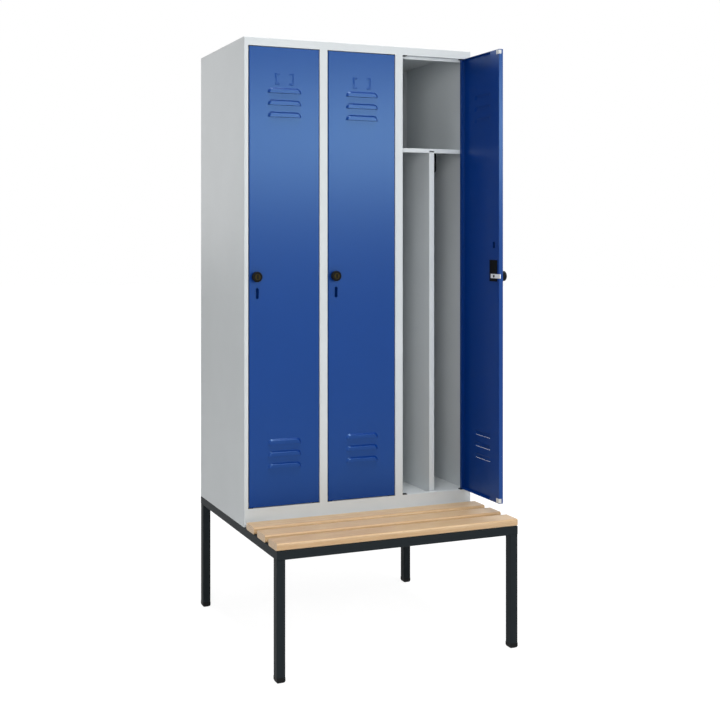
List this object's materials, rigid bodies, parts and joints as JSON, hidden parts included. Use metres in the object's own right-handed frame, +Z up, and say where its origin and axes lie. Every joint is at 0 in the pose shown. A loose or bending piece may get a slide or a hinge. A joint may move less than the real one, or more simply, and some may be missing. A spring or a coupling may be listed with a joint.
{
  "type": "clothes locker with bench",
  "caption": "Free-standing sheet-steel clothes locker with hinged louvred doors, hat shelves, divided hanging space and turn locks, on a tube frame with a slatted bench in front.",
  "frame": {"origin": "on the floor under the middle of the footprint of the frame", "axes": "+Z up, +X to the right as one faces the doors, +Y from the bench towards the back wall"},
  "size_m": [0.9008, 0.81, 2.125],
  "materials": {
    "cabinet_paint": "light grey powder coat, satin",
    "door_paint": "gentian blue powder coat, satin",
    "frame_paint": "black grey powder coat, satin",
    "beech": "clear lacquered beech",
    "black_plastic": "moulded, matt",
    "foot_plastic": "moulded, matt",
    "white_plastic": "moulded, matt",
    "zinc_steel": "zinc plated",
    "brass_core": "dull brass"
  },
  "bodies": {
    "cabinet": {"side_wall_left": "cabinet_paint", "side_wall_right": "cabinet_paint", "back_wall": "cabinet_paint", "roof": "cabinet_paint", "floor": "cabinet_paint", "divider_1": "cabinet_paint", "divider_2": "cabinet_paint", "hat_shelf_1": "cabinet_paint", "partition_1": "cabinet_paint", "coat_hooks_1": "black_plastic", "hat_shelf_2": "cabinet_paint", "partition_2": "cabinet_paint", "coat_hooks_2": "black_plastic", "hat_shelf_3": "cabinet_paint", "partition_3": "cabinet_paint", "coat_hooks_3": "black_plastic", "pivot_bushes_lower": "black_plastic", "pivot_bushes_upper": "black_plastic", "glide_pads": "black_plastic", "leg_front_left": "frame_paint", "foot_front_left": "foot_plastic", "leg_front_right": "frame_paint", "foot_front_right": "foot_plastic", "leg_rear_left": "frame_paint", "foot_rear_left": "foot_plastic", "leg_rear_right": "frame_paint", "foot_rear_right": "foot_plastic", "side_rail_left": "frame_paint", "side_rail_right": "frame_paint", "front_rail": "frame_paint", "rear_rail": "frame_paint", "cross_rail": "frame_paint", "slat_front": "beech", "slat_middle": "beech", "slat_rear": "beech"},
    "door_1": {"door_1_lock_plate": "black_plastic", "door_1_panel": "door_paint", "door_1_corner_caps": "white_plastic", "door_1_pivot_pins": "zinc_steel"},
    "lock_1": {"lock_1_knob": "black_plastic", "lock_1_cam": "zinc_steel", "lock_1_cylinder": "brass_core"},
    "door_2": {"door_2_lock_plate": "black_plastic", "door_2_panel": "door_paint", "door_2_corner_caps": "white_plastic", "door_2_pivot_pins": "zinc_steel"},
    "lock_2": {"lock_2_knob": "black_plastic", "lock_2_cam": "zinc_steel", "lock_2_cylinder": "brass_core"},
    "door_3": {"door_3_lock_plate": "black_plastic", "door_3_panel": "door_paint", "door_3_corner_caps": "white_plastic", "door_3_pivot_pins": "zinc_steel"},
    "lock_3": {"lock_3_knob": "black_plastic", "lock_3_cam": "zinc_steel", "lock_3_cylinder": "brass_core"}
  },
  "joints": [
    {"name": "door_1_hinge", "type": "hinge", "parent": "cabinet", "child": "door_1", "pos_m": [-0.1755, -0.089, 0.491], "axis": [0, 0, 1], "range_deg": [0, 110]},
    {"name": "lock_1_turn", "type": "hinge", "parent": "door_1", "child": "lock_1", "pos_m": [-0.407, -0.089, 1.292], "axis": [0, 1, 0], "range_deg": [0, 90]},
    {"name": "door_2_hinge", "type": "hinge", "parent": "cabinet", "child": "door_2", "pos_m": [0.1245, -0.089, 0.491], "axis": [0, 0, 1], "range_deg": [0, 110]},
    {"name": "lock_2_turn", "type": "hinge", "parent": "door_2", "child": "lock_2", "pos_m": [-0.107, -0.089, 1.292], "axis": [0, 1, 0], "range_deg": [0, 90]},
    {"name": "door_3_hinge", "type": "hinge", "parent": "cabinet", "child": "door_3", "pos_m": [0.4245, -0.089, 0.491], "axis": [0, 0, 1], "range_deg": [-90, 20]},
    {"name": "lock_3_turn", "type": "hinge", "parent": "door_3", "child": "lock_3", "pos_m": [0.4245, -0.3205, 1.292], "axis": [-1, 0, 0], "range_deg": [-90, 0]}
  ]
}
